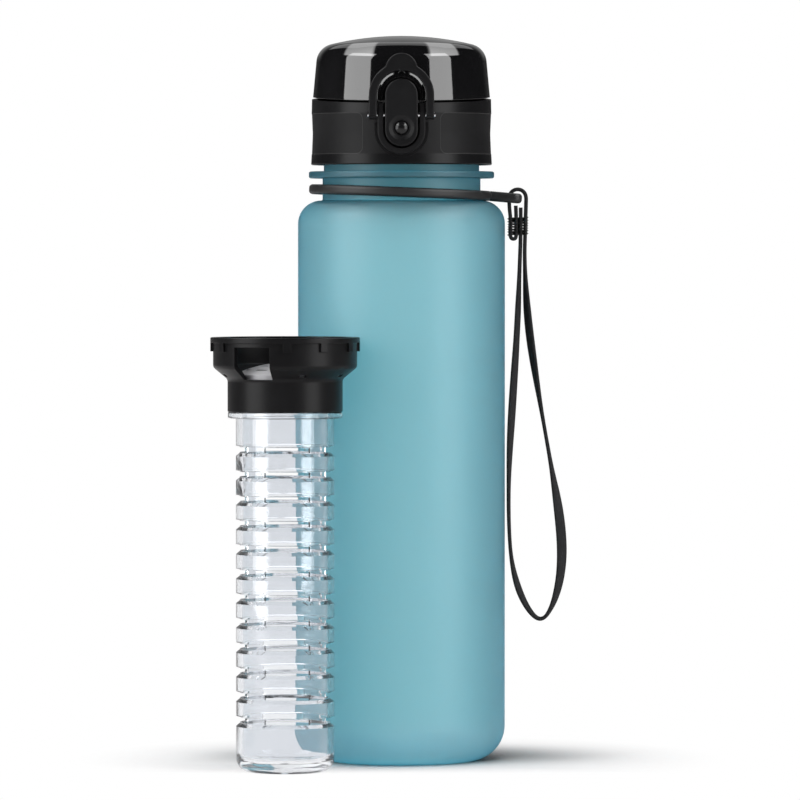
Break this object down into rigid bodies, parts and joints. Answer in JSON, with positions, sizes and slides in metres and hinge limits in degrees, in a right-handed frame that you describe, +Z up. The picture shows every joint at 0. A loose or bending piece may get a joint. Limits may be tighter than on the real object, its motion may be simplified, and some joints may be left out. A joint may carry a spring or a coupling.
{
  "type": "infuser bottle",
  "caption": "Drinking bottle with a screw lid, a latched flip cap, a carry ring with a wrist strap, and a slotted infuser tube that stands beside it.",
  "frame": {"origin": "middle of the bottle's base, on the surface it stands on", "axes": "+Z up along the bottle, -Y towards the front, where the latch is, +X to the right seen from the front, where the strap hangs"},
  "size_m": [0.1098, 0.0991, 0.2276],
  "materials": {
    "tinted_body": "clear, tinted, glossy",
    "clear_tube": "clear, faintly grey",
    "strainer_grey": "light grey",
    "collar_black": "satin black",
    "lid_black": "matte black",
    "cap_black": "glossy black",
    "liner_grey": "dark grey",
    "seal_white": "translucent silicone",
    "ring_rubber": "matte black",
    "strap_fabric": "woven black",
    "pin_steel": "bright"
  },
  "bodies": {
    "bottle": {"bottle_body": "tinted_body"},
    "ring": {"carry_ring": "ring_rubber"},
    "strap": {"wrist_strap": "strap_fabric"},
    "seal": {"lid_gasket": "seal_white"},
    "lid": {"lid_base_shell": "lid_black", "lid_thread_liner": "liner_grey", "drinking_spout": "liner_grey", "hinge_pin": "pin_steel", "hinge_spring": "pin_steel", "latch_pin": "pin_steel", "latch_spring": "pin_steel"},
    "cap": {"cap_shell": "cap_black", "cap_liner": "liner_grey", "cap_seal": "seal_white"},
    "latch": {"latch_lever": "cap_black", "press_stud": "cap_black"},
    "bail": {"lock_bail": "cap_black"},
    "infuser": {"infuser_tube": "clear_tube"},
    "collar": {"infuser_collar": "collar_black", "strainer_dome": "strainer_grey"}
  },
  "joints": [
    {"name": "lid_rise", "type": "slide", "parent": "bottle", "child": "seal", "axis": [0, 0, 1], "range_m": [0, 0.005]},
    {"name": "lid_turn", "type": "hinge", "parent": "seal", "child": "lid", "pos_m": [0, 0, 0.199], "axis": [0, 0, 1], "range_deg": [0, 450]},
    {"name": "cap_flip", "type": "hinge", "parent": "lid", "child": "cap", "pos_m": [0, 0.02995, 0.20982], "axis": [-1, 0, 0], "range_deg": [0, 150]},
    {"name": "latch_press", "type": "hinge", "parent": "lid", "child": "latch", "pos_m": [0, -0.0295, 0.2024], "axis": [1, 0, 0], "range_deg": [0, 6.5], "stiffness_Nm_per_rad": 0.02, "springref_deg": -5.73, "deforming": ["latch_spring"]},
    {"name": "bail_swing", "type": "hinge", "parent": "lid", "child": "bail", "pos_m": [0, -0.0295, 0.2024], "axis": [1, 0, 0], "range_deg": [0, 135]},
    {"name": "ring_swivel", "type": "hinge", "parent": "bottle", "child": "ring", "pos_m": [0, 0, 0.1785], "axis": [0, 0, 1], "range_deg": [-90, 180]},
    {"name": "strap_swing", "type": "hinge", "parent": "ring", "child": "strap", "pos_m": [0.0366, 0, 0.1767], "axis": [0, -1, 0], "range_deg": [0, 75]},
    {"name": "infuser_lift", "type": "slide", "parent": "bottle", "child": "infuser", "axis": [0, 0, 1], "range_m": [0, 0.055]},
    {"name": "collar_twist", "type": "hinge", "parent": "infuser", "child": "collar", "pos_m": [-0.0358, -0.04358, 0.1158], "axis": [0, 0, 1], "range_deg": [0, 60]}
  ],
  "couplings": [
    {"joint": "lid_rise", "follows": "lid_turn", "m_per_rad": 0.0006366}
  ]
}
